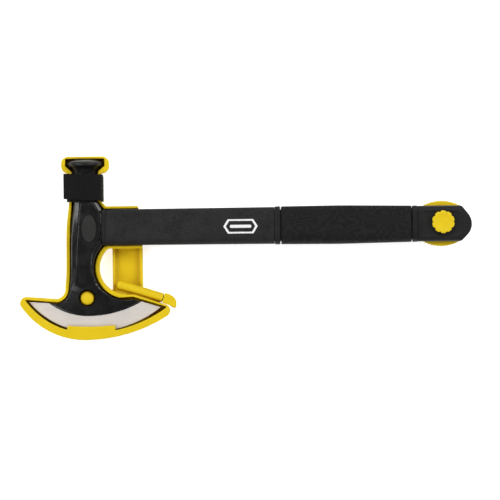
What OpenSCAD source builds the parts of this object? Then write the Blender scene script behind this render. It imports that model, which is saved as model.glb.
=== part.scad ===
// Compact survival hatchet lying in its belt sheath, with a pull-out saw in the
// handle and a fire steel on the sheath. Lengths are in millimetres.
//
// Everything is drawn about the handle: X runs from the poll axis to the butt,
// Y towards the hammer face and Z out of the face that is seen, with Z = 0 on the
// mid-plane. placed() then moves the whole so that the origin is the middle of
// the footprint, on the surface that it lies on.

/* [Head] */
// Half thickness of the head at the eye
eye_half = 11; // [10:0.1:11.3]
// Lowest point of the cutting edge, from the handle axis
edge_drop = 81.7; // [81:0.1:82.3]
// Radius of the cutting edge towards the toe, left of its lowest point
edge_r_toe = 63.5; // [60:0.5:66]
// Radius of the cutting edge towards the heel, right of its lowest point
edge_r_heel = 95.5; // [90:0.5:98]
// Width of the bare steel behind the edge
grind_w = 12; // [8:0.5:14]
// Half thickness of the blade where the bare steel starts
grind_half = 2.6; // [2:0.1:3]
// Radius of the hammer face
poll_r = 14.2; // [13:0.1:14.3]
// Radius of the neck under the hammer
neck_r = 9; // [8:0.1:9.1]
// Height of the hammer face above the handle axis
poll_top = 53; // [52:0.1:53.1]

/* [Handle] */
// Butt end, measured from the poll axis
butt_x = 303.7; // [300:0.1:306]
// Half height of the shaft where it leaves the head
shaft_half_y = 14.1; // [13:0.1:14.2]
// Half thickness of the shaft where it leaves the head
shaft_half_z = 11.6; // [10:0.1:11.8]
// Half height of the rubber grip at its fullest
grip_half_y = 15.2; // [14.8:0.1:16]
// Half thickness of the rubber grip, which rests level with the sheath's back
grip_half_z = 14.5; // [14.4:0.1:14.8]

/* [Thumb knob and saw] */
// Outer radius of the lobed thumb knob
knob_r = 8.9; // [8:0.1:10]
// Number of lobes around the knob
knob_lobes = 10; // [6:1:14]
// Radius of the knob's screw
screw_r = 2; // [1.5:0.1:2.5]
// Half height of the saw blade, from its back to the tooth tips
saw_half = 8.2; // [6:0.1:8.4]
// Length of saw blade that stands out of its handle
saw_reach = 160; // [120:1:165]
// Distance from one saw tooth to the next
tooth_pitch = 4; // [3:0.5:6]
// Thickness of the saw's handle
tail_t = 6; // [5:0.1:6.4]

/* [Sheath] */
// Height of the sheath's rim above the mid-plane
rim_top = 4; // [3:0.1:5]
// Thickness of the sheath's back
floor_t = 2.2; // [2:0.1:2.4]
// Radius of the post that stands through the head
boss_r = 5.7; // [5:0.1:5.9]

/* [Strap and fire steel] */
// Width of the hook-and-loop strap
strap_w = 20; // [18:0.5:20.5]
// Thickness of the strap
strap_t = 1.6; // [1.4:0.1:1.7]
// Radius of the fire steel's rod
rod_r = 2.5; // [2:0.1:2.7]
// Slope of the fire steel, below the handle axis
rod_slope = 17.5; // [15:0.5:19]

/* [Hidden] */
$fn = 64;

black = [0.13, 0.13, 0.15];
nylon = [0.2, 0.2, 0.21];
yellow = [0.9, 0.77, 0.1];
steel = [0.75, 0.76, 0.78];

// Gaps: between pieces fixed together, of a running fit, and around the sheathed head
fit = 0.05;
run = 0.08;
past = 1;

// Where the sheath's back and the grip rest
back_z = -grip_half_z;
floor_z = back_z + floor_t;

// Ends of the whole in the drawing: the sheath's toe and foot, the cradle's top
toe_x = -52.2;
foot_y = -88.5;
cradle_top = 56;

// Heights of the sheathed head's outline: lowest point of each arc and its place
edge_x = 4.6;
cover_x = 2.5;
cover_drop = 82.9;
cover_r_toe = 61.9;
cover_r_heel = 103.6;
foot_x = -0.7;
foot_r_toe = 61.2;
foot_r_heel = 122;

// The round bay between head and handle, and the three arcs drawn about it
bay = [31.3, -32];
bay_head_r = 25.3;
bay_rim_r = 23.8;
bay_gap_r = 20.6;

// The hollow between the shank and the toe
hollow = [-24.3, -47.9];
hollow_head_r = 11.7;
hollow_rim_r = 10.5;
hollow_gap_r = 8;

// Left side of the shank, from the neck down to the hollow
shank_side = [
    [-9.3, 21], [-10.3, 10], [-10.9, 0], [-11.2, -10], [-11.3, -25], [-11.6, -38], [-12.6, -47.9],
];
shank_gap = 1.1;
shank_wall = 2.9;
neck_taper = 0.0105;

// The strap's place on the neck
strap_low = 20.3;
strap_high = 42.65;
strap_out = 13.6;
strap_bend = 1.3;
strap_back = -13.5;
rivet_y = 31.5;
cradle_low = 42.75;
neck_floor = [-12.3, -9.9];
bed_y = [strap_low - 0.5, strap_high + 1.4];
neck_wall_in = 10.3;
neck_wall_out = 12.4;

// Stations along the handle
collar_x = 12.7;
shaft_x = 16;
ring_x = 148.7;
grip_x = 153.6;
rear_x = 256.8;
cap_x = 261.2;
core_half = [12.5, 11.8];
spigot_x = 241;
spigot_half = [10.8, 9.8];
cap_half = [14.05, 12.6];
cap_corner_r = 3;
cap_nose_r = 12.5;
cap_nose = [butt_x - cap_nose_r, -0.4];
panel_r = 9.4;
panel_z = cap_half[1] - 0.6;

tang_end = 92;
tang_half = [7, 2.5];
pin_x = [38, 76];
pin_r = 2.5;

// The clamp and the saw
knob_at = [281.2, 1.2];
slot_half = tail_t / 2 + 0.4;
tail_x = 264;
tail_mid = 279.8;
tail_end = 296;
tail_arc = 30;
tail_bulge = 18;
saw_root = 290;
saw_tip = tail_x - saw_reach;
saw_slot = [8.8, 1.4];
rivet_x = [273, 287];

boss_at = [0.8, -55.2];
boss_top = 4.5;
lip_x = [-15.2, 22.6];
lip_low = 1.7;
plug_at = [2.8, -0.8];

// The belt bridge between the handle and the fire steel, and its two side walls
bridge_x = [20.8, 44.6];
bridge_wall = 2.2;
bridge_top = -7;

// The fire steel: the mouth of its tube, the tube's length, how far its keel reaches back
// and the rod's two ends
tube_at = [60.2, -55.9, -1.5];
tube_r = 3.65;
tube_l = 37.4;
keel_z = floor_z - past - tube_at[2];
rod_back = -35;
rod_front = 8;

// Points of a smooth curve through p, n to a span
function blend4(a, b, c, d, t) =
    0.5 * (2 * b + (c - a) * t + (2 * a - 5 * b + 4 * c - d) * t * t + (3 * b - a - 3 * c + d) * t * t * t);
function smooth(p, n = 6) = [
    for (i = [0:len(p) - 2])
        for (j = [0:n - 1])
            blend4(p[max(i - 1, 0)], p[i], p[i + 1], p[min(i + 2, len(p) - 1)], j / n),
    p[len(p) - 1],
];

// Outline of a band of thickness t that follows the path p
function across(p, i) =
    let (d = p[min(i + 1, len(p) - 1)] - p[max(i - 1, 0)])
    [-d[1], d[0]] / norm(d);
function band(p, t) = concat(
    [for (i = [0:len(p) - 1]) p[i] + across(p, i) * t / 2],
    [for (i = [len(p) - 1:-1:0]) p[i] - across(p, i) * t / 2]
);

module placed() {
    translate([-(toe_x + butt_x) / 2, -(foot_y + cradle_top) / 2, -back_z])
        children();
}

// A round-cornered rectangle of half sizes h
module rounded(h, r) {
    offset(r) square([2 * (h[0] - r), 2 * (h[1] - r)], center = true);
}

// A length of handle from x to x + l with half sizes h in Y and Z
module bar(x, l, h, r) {
    translate([x, 0, 0]) rotate([90, 0, 90]) linear_extrude(l) rounded(h, r);
}

// A box from corner a to corner b
module block(a, b) {
    translate(a) cube(b - a);
}

// The region bounded below by two arcs that share their lowest point
module belly(x, drop, r_toe, r_heel) {
    intersection() {
        translate([x, r_toe - drop]) circle(r_toe);
        translate([x - 150, -100]) square([150, 100]);
    }
    intersection() {
        translate([x, r_heel - drop]) circle(r_heel);
        translate([x, -100]) square([150, 100]);
    }
}

// Shank from the neck to the blade, with its bay and hollow cut to the given radii
module shank(out, bay_r, hollow_r) {
    difference() {
        polygon(concat(
            [for (p = smooth(shank_side, 3)) p - [out * (1 - neck_taper * max(p[1], 0)), 0]],
            [hollow, [hollow[0], -62], [bay[0], -62], [bay[0], -14.3]],
            [[13.6, -14.3], [13.6, 14.3], [9, 21]]
        ));
        translate(hollow) circle(hollow_r);
        translate(bay) circle(bay_r);
    }
}

// Half plane region under the blade's upper edges: hollow side first, then heel side
module under(toe_a, toe_b, heel_a, heel_b) {
    toe_far = toe_a + (toe_b - toe_a) * 1.5;
    heel_far = heel_a + (heel_b - heel_a) * 1.5;
    polygon([toe_far, toe_a, heel_a, heel_far, [heel_far[0], -99], [toe_far[0], -99]]);
}

module head_outline() {
    shank(0, bay_head_r, hollow_head_r);
    intersection() {
        belly(edge_x, edge_drop, edge_r_toe, edge_r_heel);
        under([-23, -59.6], [-43.6, -58], [37, -56.6], [58, -63]);
    }
}

module sheath_hollow() {
    shank(shank_gap, bay_rim_r, hollow_rim_r);
    intersection() {
        belly(cover_x, cover_drop, cover_r_toe, cover_r_heel);
        under([-23, -58.3], [-48, -56.2], [37, -54.7], [63.5, -63]);
    }
    // Neck, hammer and handle
    translate([-neck_wall_in, 19]) square([2 * neck_wall_in, 25]);
    for (side = [0, 1])
        mirror([side, 0])
            polygon([
                [0, 43], [10.3, 43], [11.2, 44.8], [13.3, 46.6],
                [15.4, 48.4], [15.4, 54.2], [0, 54.2],
            ]);
    polygon([[0, 21.5], [neck_wall_in, 20.5], [14.6, 14.7], [14.6, 0], [0, 0]]);
    translate([8, -14.5]) square([40, 29.2]);
}

module sheath_outline() {
    shank(shank_gap + shank_wall, bay_gap_r, hollow_gap_r);
    offset(5) offset(-5) intersection() {
        belly(foot_x, -foot_y, foot_r_toe, foot_r_heel);
        under([-23, -55.9], [-50, -53.6], [37, -52.9], [65, -62.1]);
    }
    translate([-neck_wall_out, 17]) square([2 * neck_wall_out, 28]);
    translate([0.2, (cradle_low + cradle_top) / 2]) rounded([18.8, (cradle_top - cradle_low) / 2], 5.5);
    // Fork around the handle
    polygon([[0, 20.5], [neck_wall_out, 20.5], [16.2, 16.7], [41, 16.7], [41.8, 14.7], [41.8, 0], [0, 0]]);
    translate([12, -16.7]) square([bridge_x[1] - 12, 4]);
}

module hammer_profile() {
    translate([0, 19]) square([neck_r, 30]);
    difference() {
        translate([0, 41.5]) square([poll_r, poll_top - 1.8 - 41.5]);
        translate([neck_r + 8.5, 41.5]) circle(8.5);
    }
    polygon([
        [0, poll_top - 1.8], [poll_r, poll_top - 1.8], [poll_r - 0.9, poll_top - 0.7],
        [poll_r - 5, poll_top - 0.2], [0, poll_top],
    ]);
}

// The blade's faces: ground thin at the edge, thickening with distance from it
module ground_faces() {
    for (arc = [[edge_r_toe, -150], [edge_r_heel, 0]])
        intersection() {
            translate([edge_x, arc[0] - edge_drop, 0])
                rotate_extrude()
                    for (side = [0, 1])
                        mirror([0, side])
                            polygon([
                                [0, 0], [arc[0], 0], [arc[0], 0.35], [arc[0] - grind_w, grind_half],
                                [arc[0] - 30, 6.5], [arc[0] - 46, 12], [0, 12],
                            ]);
            block([edge_x + arc[1], -100, -20], [edge_x + arc[1] + 150, -20, 20]);
        }
    block([-30, -25, -12], [30, 30, 12]);
}

// The head's thickness seen from the side, from the neck down to the edge
module cheek_wedge() {
    translate([-60, 0, 0])
        rotate([90, 0, 90])
            linear_extrude(140)
                for (side = [0, 1])
                    mirror([0, side])
                        polygon([
                            [22, 0], [22, 6.5], [20, 8.2], [14, eye_half], [-22, eye_half],
                            [-66, 4.2], [-90, 1.5], [-90, 0],
                        ]);
}

module plug_outline() {
    translate(plug_at) hull() {
        circle(6.1, $fn = 32);
        for (y = [-5.7, 5.7])
            translate([0, y]) circle(5.4, $fn = 32);
    }
}

module axe_head() {
    color(black) difference() {
        union() {
            intersection() {
                translate([0, 0, -eye_half]) linear_extrude(2 * eye_half) head_outline();
                ground_faces();
                cheek_wedge();
            }
            rotate([-90, 0, 0]) rotate_extrude() hammer_profile();
            block([10, -tang_half[0], -tang_half[1]], [tang_end, tang_half[0], tang_half[1]]);
        }
        // The hole for the sheath's post opens towards the back, so the post can swing in
        translate([boss_at[0], boss_at[1], -eye_half]) cylinder(h = 2 * eye_half, r1 = 9.8, r2 = 5.4);
        translate([boss_at[0], boss_at[1], 0]) cylinder(h = eye_half, r = 6.6);
        linear_extrude(2 * (eye_half + past), center = true) offset(delta = fit) plug_outline();
        for (x = pin_x)
            translate([x, 0, -eye_half]) cylinder(h = 2 * eye_half, r = pin_r);
        block([collar_x, -20, tang_half[1] + fit], [16, 20, 20]);
        block([collar_x, -20, -20], [16, 20, -tang_half[1] - fit]);
        block([collar_x, tang_half[0] + fit, -20], [16, 20, 20]);
        block([collar_x, -20, -20], [16, -tang_half[0] - fit, 20]);
    }
}

module eye_plug() {
    color(nylon) translate([0, 0, -eye_half - 0.2]) linear_extrude(2 * eye_half + 0.4) plug_outline();
}

module tang_pins() {
    color(steel)
        for (x = pin_x)
            translate([x, 0, -8]) cylinder(h = 16, r = pin_r - 0.01);
}

module head_collar() {
    color(nylon) difference() {
        bar(collar_x + fit, shaft_x - collar_x - 2 * fit, [shaft_half_y, shaft_half_z], 5.5);
        block(
            [collar_x - past, -tang_half[0] - fit, -tang_half[1] - fit],
            [shaft_x + past, tang_half[0] + fit, tang_half[1] + fit]
        );
    }
}

module handle_shaft() {
    color(nylon) difference() {
        union() {
            hull() {
                bar(shaft_x, 0.1, [shaft_half_y, shaft_half_z], 5.5, $fn = 32);
                bar(ring_x - 0.1, 0.1, [shaft_half_y + 0.4, 13.4], 6, $fn = 32);
            }
            bar(ring_x - past, cap_x - ring_x + past, core_half, 3);
        }
        block(
            [shaft_x - past, -tang_half[0] - fit, -tang_half[1] - fit],
            [tang_end + fit, tang_half[0] + fit, tang_half[1] + fit]
        );
        for (x = pin_x)
            translate([x, 0, -8.1]) cylinder(h = 16.2, r = pin_r);
        block([saw_tip - 4, -saw_slot[0], -saw_slot[1]], [cap_x + past, saw_slot[0], saw_slot[1]]);
        bar(spigot_x, cap_x - spigot_x + past, spigot_half, 2);
        cap_screw_holes(1.35, 2.45);
    }
}

module front_ring() {
    color(black) difference() {
        bar(ring_x + fit, grip_x - ring_x - 2 * fit, [15, 13.9], 6.5);
        bar(ring_x - past, grip_x - ring_x + 2 * past, core_half + [fit, fit], 3);
    }
}

module rubber_grip() {
    color(black) difference() {
        hull() {
            bar(grip_x, 0.1, [grip_half_y - 0.3, grip_half_z], 7, $fn = 32);
            bar(200, 0.1, [grip_half_y, grip_half_z], 7, $fn = 32);
            bar(rear_x - fit - 0.1, 0.1, [grip_half_y - 0.9, grip_half_z], 7, $fn = 32);
        }
        bar(grip_x - past, rear_x - grip_x + 2 * past, core_half + [fit, fit], 3);
    }
}

module rear_ring() {
    color(black) difference() {
        bar(rear_x, cap_x - rear_x - fit, [14.3, 13.6], 6);
        bar(rear_x - past, cap_x - rear_x + 2 * past, core_half + [fit, fit], 3);
    }
}

// The end cap seen from the front: straight sides, soft corners and a round nose
function cap_corner(side) = [butt_x - 9.5, side * (cap_half[0] - cap_corner_r)];
function cap_slant(side) = let (way = cap_nose - cap_corner(side))
    atan2(way[1], way[0]) + side * acos((cap_corner_r - cap_nose_r) / norm(way));
function around(centre, r, angle) = centre + r * [cos(angle), sin(angle)];

module cap_outline() {
    polygon([
        [cap_x, -cap_half[0]],
        [cap_corner(-1)[0], -cap_half[0]],
        around(cap_corner(-1), cap_corner_r, cap_slant(-1)),
        around(cap_nose, cap_nose_r, cap_slant(-1)),
        around(cap_nose, cap_nose_r, cap_slant(1)),
        around(cap_corner(1), cap_corner_r, cap_slant(1)),
        [cap_corner(1)[0], cap_half[0]],
        [cap_x, cap_half[0]]
    ]);
    translate(cap_nose) circle(cap_nose_r);
    for (side = [-1, 1])
        translate(cap_corner(side)) circle(cap_corner_r);
}

module end_cap() {
    color(black) difference() {
        union() {
            intersection() {
                translate([0, 0, -cap_half[1]]) linear_extrude(2 * cap_half[1]) cap_outline();
                bar(cap_x, butt_x - cap_x, cap_half, 4);
            }
            bar(spigot_x + fit, cap_x - spigot_x + past, spigot_half - [fit, fit], 2);
        }
        // Sunk panel under the knob
        translate([0, 0, panel_z]) linear_extrude(2) union() {
            translate([cap_x + 5, -panel_r]) square([22.9, 2 * panel_r]);
            translate([cap_x + 27.9, 0]) circle(panel_r);
        }
        // Slot that the saw's handle sits in, and the blade's way in
        block([cap_x + 1.2, -20, -slot_half], [butt_x + past, 20, slot_half]);
        block([spigot_x - past, -saw_slot[0], -saw_slot[1]], [cap_x + 2, saw_slot[0], saw_slot[1]]);
        translate([knob_at[0], knob_at[1], 0]) cylinder(h = 20, r = 3.2);
        cap_screw_holes(1.3, 2.4);
    }
}

// Two countersunk screws in from the back, hidden by the grip
module cap_screw_shapes(r, head_r) {
    for (y = [-5.5, 5.5])
        translate([spigot_x + 9, y, -core_half[1]]) {
            cylinder(h = 7, r = r);
            cylinder(h = 1.4, r1 = head_r, r2 = r);
        }
}

module cap_screw_holes(r, head_r) {
    cap_screw_shapes(r, head_r);
    for (y = [-5.5, 5.5])
        translate([spigot_x + 9, y, -core_half[1] - past]) cylinder(h = past, r = head_r);
}

module cap_screws() {
    color(steel) cap_screw_shapes(1.29, 2.35);
}

module knob_insert() {
    color("goldenrod") translate([knob_at[0], knob_at[1], slot_half + past]) difference() {
        cylinder(h = panel_z - slot_half - past, r = 3.2);
        translate([0, 0, -past]) cylinder(h = 20, r = screw_r + run);
    }
}

module clamp_washer() {
    color(steel) translate([knob_at[0], knob_at[1], panel_z + fit]) difference() {
        cylinder(h = 0.6, r = 5.5);
        translate([0, 0, -past]) cylinder(h = 3, r = screw_r + run);
    }
}

module thumb_knob() {
    lobe_r = 2.8;
    color(yellow) translate([knob_at[0], knob_at[1], panel_z + 0.75]) difference() {
        linear_extrude(3.8) {
            circle(knob_r - 0.9);
            for (i = [0:knob_lobes - 1])
                rotate(90 + i * 360 / knob_lobes)
                    translate([knob_r - lobe_r, 0]) circle(lobe_r);
        }
        translate([0, 0, -past]) cylinder(h = past + 1, r = screw_r);
        translate([0, 0, 1]) cylinder(h = 1.6, r = 3.6);
    }
}

module knob_screw() {
    color(steel) translate([knob_at[0], knob_at[1], 0]) {
        translate([0, 0, tail_t / 2 + 0.1]) cylinder(h = panel_z - tail_t / 2 + 1.65, r = screw_r);
        translate([0, 0, panel_z + 1.75]) cylinder(h = 1.6, r = 3.6);
    }
}

module saw_blade() {
    teeth = floor((saw_reach - 14) / tooth_pitch);
    nose = [saw_tip + 10, -saw_half];
    color(steel) translate([0, 0, -0.6]) linear_extrude(1.2) polygon(concat(
        [[saw_root, saw_half], [saw_tip + 5, saw_half], [saw_tip, saw_half - 7], nose - [7, -5]],
        [for (i = [0:teeth - 1]) each [nose + [i * tooth_pitch, 0], nose + [i * tooth_pitch + 2, 2.6]]],
        [[saw_root, -saw_half + 2.6]]
    ));
}

module saw_tail() {
    color(yellow) difference() {
        translate([0, 0, -tail_t / 2]) linear_extrude(tail_t) intersection() {
            translate([tail_mid, tail_bulge - tail_arc]) circle(tail_arc);
            translate([tail_mid, tail_arc - tail_bulge]) circle(tail_arc);
            translate([tail_x, -20]) square([tail_end - tail_x, 40]);
        }
        block([tail_x - past, -saw_half - fit, -0.6], [saw_root + fit, saw_half + fit, 0.6]);
        for (x = rivet_x)
            translate([x, 0, -5]) cylinder(h = 10, r = 1.5);
    }
}

module saw_rivets() {
    color(steel)
        for (x = rivet_x, side = [0, 1])
            mirror([0, 0, side]) translate([x, 0, 0.6]) cylinder(h = tail_t / 2 - 0.65, r = 1.49);
}

// Lengths along the fire steel run from the mouth of its tube, outwards positive
module along_rod() {
    translate(tube_at) rotate([0, 0, -rod_slope]) children();
}

module rod(from, to, r) {
    translate([from, 0, 0]) rotate([0, 90, 0]) cylinder(h = to - from, r = r);
}

module sheath_tray() {
    difference() {
        translate([0, 0, back_z]) linear_extrude(rim_top - back_z) sheath_outline();
        translate([0, 0, floor_z]) linear_extrude(rim_top - floor_z + past) difference() {
            sheath_hollow();
            translate([-20, bed_y[0]]) square([40, bed_y[1] - bed_y[0]]);
        }
        // The neck's shallower bed, with a channel for the strap behind it
        block(
            [-neck_wall_in, bed_y[0] - past, neck_floor[1]],
            [neck_wall_in, bed_y[1] + past, rim_top + past]
        );
        block([-20, strap_low - 0.3, back_z - past], [20, strap_high, neck_floor[0]]);
        // Window behind the hammer
        block([-8.5, 46.5, back_z - past], [8.5, 53, floor_z + past]);
    }
    // Lip over the cutting edge
    translate([0, 0, lip_low]) linear_extrude(rim_top - lip_low) intersection() {
        belly(cover_x, cover_drop + 2, cover_r_toe, cover_r_heel);
        difference() {
            translate([lip_x[0], -90]) square([lip_x[1] - lip_x[0], 13]);
            translate([(lip_x[0] + lip_x[1]) / 2, 98.2]) circle(176);
        }
    }
    // Post through the head
    translate([boss_at[0], boss_at[1], floor_z - past]) {
        cylinder(h = -floor_z + past + 1.5, r = boss_r);
        translate([0, 0, -floor_z + past + 1.5])
            cylinder(h = boss_top - 1.5, r1 = boss_r, r2 = boss_r - 1.6);
    }
}

module belt_bridge() {
    for (x = [bridge_x[0], bridge_x[1] - bridge_wall])
        block([x, -50, back_z], [x + bridge_wall, -15, bridge_top]);
    block([bridge_x[0], -50, back_z], [bridge_x[1], -15, floor_z]);
}

module sheath() {
    color(yellow) difference() {
        union() {
            sheath_tray();
            difference() {
                union() {
                    belt_bridge();
                    along_rod() block([-tube_l, -6.8, keel_z], [-16, -1.2, 0]);
                }
                linear_extrude(100, center = true) sheath_hollow();
            }
            along_rod() {
                rod(-tube_l, 0, tube_r);
                block([-tube_l, -3.9, keel_z], [-2, -1.2, 0]);
            }
        }
        along_rod() rod(rod_back - 1, past, rod_r + run);
        translate([0, rivet_y, -20]) cylinder(h = 15, r = 1.2);
    }
}

// The strap's cross-section, from the outside of the right wall round the back,
// up the left side and over the neck
function strap_corner(side, from, to) = [
    for (a = [from:-15:to])
        [side * (strap_out - strap_bend), strap_bend + strap_back] + strap_bend * [cos(a), sin(a)]
];
strap_path = concat(
    [[strap_out, 1.5]],
    strap_corner(1, 0, -90),
    strap_corner(-1, -90, -180),
    smooth([[-strap_out, 3.5], [-12.7, 7.2], [-10.2, 9.2], [-6, 10.1], [0, 10.4], [6, 10]])
);
flap_path = [
    [strap_out, 2.4], [13.5, 5.2], [12.2, 8.8], [9, 11.2], [5, 12.2], [0, 12.4], [-6, 12.1], [-11, 11],
    [-16.4, 8],
];

module strap_band() {
    color(black) difference() {
        translate([0, strap_low + strap_w, 0]) rotate([90, 0, 0]) linear_extrude(strap_w)
            polygon(band(strap_path, strap_t));
        translate([0, rivet_y, -20]) cylinder(h = 15, r = 1.2);
    }
}

module strap_flap() {
    color(black)
        translate([0, strap_high, 0]) rotate([90, 0, 0]) linear_extrude(strap_w)
            polygon(band(smooth(flap_path), strap_t));
}

module strap_rivet() {
    color(steel) translate([0, rivet_y, 0]) {
        translate([0, 0, back_z]) cylinder(h = neck_floor[1] - back_z, r = 1.19);
        translate([0, 0, back_z + 0.01]) cylinder(h = 0.18, r = 3);
        translate([0, 0, neck_floor[1]]) cylinder(h = 0.5, r = 2.6);
    }
}

module fire_steel_rod() {
    color([0.35, 0.34, 0.33]) along_rod() rod(rod_back, rod_front, rod_r);
}

module fire_steel_cap() {
    corner = smooth([[0.4, 4.2], [4.8, 4.1], [8.9, 2.6], [11.2, -0.2], [12, -3]]);
    color(yellow) along_rod() difference() {
        intersection() {
            translate([0, 0, -4.2]) linear_extrude(8.4)
                polygon(concat(corner, [[11.8, -4.9], [8.8, -4.9], [6.5, -4], [0.4, -3.9]]));
            rod(0, 14, 5.6);
        }
        rod(-past, rod_front + fit, rod_r);
    }
}

placed() axe_head();
placed() eye_plug();
placed() tang_pins();
placed() head_collar();
placed() handle_shaft();
placed() front_ring();
placed() rubber_grip();
placed() rear_ring();
placed() end_cap();
placed() cap_screws();
placed() knob_insert();
placed() clamp_washer();
placed() thumb_knob();
placed() knob_screw();
placed() saw_blade();
placed() saw_tail();
placed() saw_rivets();
placed() sheath();
placed() strap_band();
placed() strap_flap();
placed() strap_rivet();
placed() fire_steel_rod();
placed() fire_steel_cap();
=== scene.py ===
"""Looks for the sheathed survival hatchet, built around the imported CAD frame.

Points are written in the CAD drawing's millimetres: X from the poll axis to the butt, Y towards
the hammer face, Z out of the front, with Z = 0 on the mid-plane.
"""

import math

import bmesh
import bpy
import numpy as np
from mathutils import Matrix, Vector
from mathutils.geometry import delaunay_2d_cdt


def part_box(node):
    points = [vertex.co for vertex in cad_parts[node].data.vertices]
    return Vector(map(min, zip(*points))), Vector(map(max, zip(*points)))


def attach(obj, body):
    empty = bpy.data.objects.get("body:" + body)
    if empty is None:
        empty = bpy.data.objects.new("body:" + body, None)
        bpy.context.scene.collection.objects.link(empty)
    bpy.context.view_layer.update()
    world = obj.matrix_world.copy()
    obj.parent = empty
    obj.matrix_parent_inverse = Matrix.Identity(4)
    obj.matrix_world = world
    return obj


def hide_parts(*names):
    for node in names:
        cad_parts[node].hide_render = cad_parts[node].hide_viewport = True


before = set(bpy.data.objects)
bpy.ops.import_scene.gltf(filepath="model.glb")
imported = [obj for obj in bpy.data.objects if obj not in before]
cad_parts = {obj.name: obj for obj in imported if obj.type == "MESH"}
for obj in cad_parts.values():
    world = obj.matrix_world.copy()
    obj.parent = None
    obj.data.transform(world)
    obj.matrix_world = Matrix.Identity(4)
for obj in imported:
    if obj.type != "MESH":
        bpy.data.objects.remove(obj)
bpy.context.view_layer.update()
MM = 0.001

# The eye plug's centre in the drawing, which gives the drawing's origin in the frame
PLUG_AT = (2.8, -0.8)
plug_low, plug_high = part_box("eye_plug")
ORIGIN = np.array((plug_low + plug_high) / 2) - np.array([*PLUG_AT, 0]) * MM


# ---------------------------------------------------------------- materials


def feed(tree, socket, value):
    """Link a socket to another one, or set its value."""
    if isinstance(value, bpy.types.NodeSocket):
        tree.links.new(value, socket)
    else:
        socket.default_value = value


def wire(tree, kind, inputs=None, **settings):
    """A shader node with its inputs set to values or linked to sockets."""
    node = tree.nodes.new("ShaderNode" + kind)
    for name, value in settings.items():
        setattr(node, name, value)
    for name, value in (inputs or {}).items():
        feed(tree, node.inputs[name], value)
    return node


def surface(name, metallic=0.0, sheen=0.0, gloss=0.5):
    """A material, its principled shader and its object coordinates."""
    material = bpy.data.materials.new(name)
    material.use_nodes = True
    tree = material.node_tree
    shader = tree.nodes["Principled BSDF"]
    shader.inputs["Metallic"].default_value = metallic
    shader.inputs["Sheen Weight"].default_value = sheen
    shader.inputs["Specular IOR Level"].default_value = gloss
    return material, tree, shader, wire(tree, "TexCoord").outputs["Object"]


def noise(tree, at, scale, detail=3.0, rough=0.55, stretch=None):
    """Noise with about scale features to a metre. stretch below 1 draws them out that way."""
    if stretch:
        at = wire(tree, "Mapping", {"Vector": at, "Scale": stretch}).outputs["Vector"]
    return wire(
        tree, "TexNoise", {"Vector": at, "Scale": scale, "Detail": detail, "Roughness": rough}
    ).outputs["Fac"]


def spread(tree, value, low, high, to_low=0.0, to_high=1.0):
    """value from low..high onto to_low..to_high."""
    return wire(
        tree,
        "MapRange",
        {"Value": value, "From Min": low, "From Max": high, "To Min": to_low, "To Max": to_high},
    ).outputs["Result"]


def between(tree, factor, a, b):
    """A mix of two colours, each a tuple or a socket."""
    node = wire(tree, "Mix", {"Factor": factor}, data_type="RGBA")
    for socket, colour in ((node.inputs[6], a), (node.inputs[7], b)):
        feed(tree, socket, (*colour, 1) if isinstance(colour, tuple) else colour)
    return node.outputs[2]


def maths(tree, operation, a, b=0.0):
    """One sum on numbers or sockets."""
    node = wire(tree, "Math", operation=operation)
    feed(tree, node.inputs[0], a)
    feed(tree, node.inputs[1], b)
    return node.outputs[0]


def roughened(tree, shader, broad, low, high):
    """Roughness that drifts between low and high with a broad noise."""
    tree.links.new(spread(tree, broad, 0.3, 0.7, low, high), shader.inputs["Roughness"])


def bumped(tree, shader, height, strength, distance, under=None):
    """A bump of distance mm, on top of the one in under."""
    inputs = {"Height": height, "Strength": strength, "Distance": distance * MM}
    if under:
        inputs["Normal"] = under
    normal = wire(tree, "Bump", inputs).outputs["Normal"]
    tree.links.new(normal, shader.inputs["Normal"])
    return normal


def grained(name, dark, light, rough, grain, strength, depth=0.12, metallic=0.0, gloss=0.5):
    """Moulded or coated surface: fine grain in bump and colour, broad drift in colour and gloss."""
    material, tree, shader, at = surface(name, metallic, gloss=gloss)
    fine = noise(tree, at, grain, 3.0)
    broad = noise(tree, at, 90.0, 2.0)
    fine_part = maths(tree, "MULTIPLY", fine, 0.65)
    mixed = maths(tree, "ADD", fine_part, maths(tree, "MULTIPLY", broad, 0.35))
    colour = between(tree, spread(tree, mixed, 0.36, 0.64), dark, light)
    tree.links.new(colour, shader.inputs["Base Color"])
    roughened(tree, shader, broad, rough - 0.05, rough + 0.06)
    bumped(tree, shader, fine, strength, depth)
    return material


def worn_plastic(name, painted_shade, main, pale, rough):
    """Satin moulded plastic with paler worn edges, and painted shade: a deeper brown-orange tone
    inside its pockets, crevices and narrow gaps, from an ambient occlusion mask.
    """
    material, tree, shader, at = surface(name, gloss=0.22)
    edge = spread(tree, wire(tree, "NewGeometry").outputs["Pointiness"], 0.5, 0.56)
    # Painted shade: an ambient occlusion mask darkens the colour towards brown-orange in pockets,
    # crevices and gaps, where shade falls
    occlusion_shade = wire(tree, "AmbientOcclusion", {"Distance": 6 * MM}, samples=6).outputs["AO"]
    broad = noise(tree, at, 70.0, 3.0)
    fine = noise(tree, at, 1800.0, 2.0)
    drift = between(tree, spread(tree, broad, 0.3, 0.7), tuple(c * 0.95 for c in main), main)
    body = between(tree, spread(tree, occlusion_shade, 0.15, 0.7), painted_shade, drift)
    colour = between(tree, maths(tree, "MULTIPLY", edge, 0.4), body, pale)
    tree.links.new(colour, shader.inputs["Base Color"])
    roughened(tree, shader, broad, rough - 0.05, rough + 0.06)
    bumped(tree, shader, fine, 0.12, 0.08)
    return material


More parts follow.
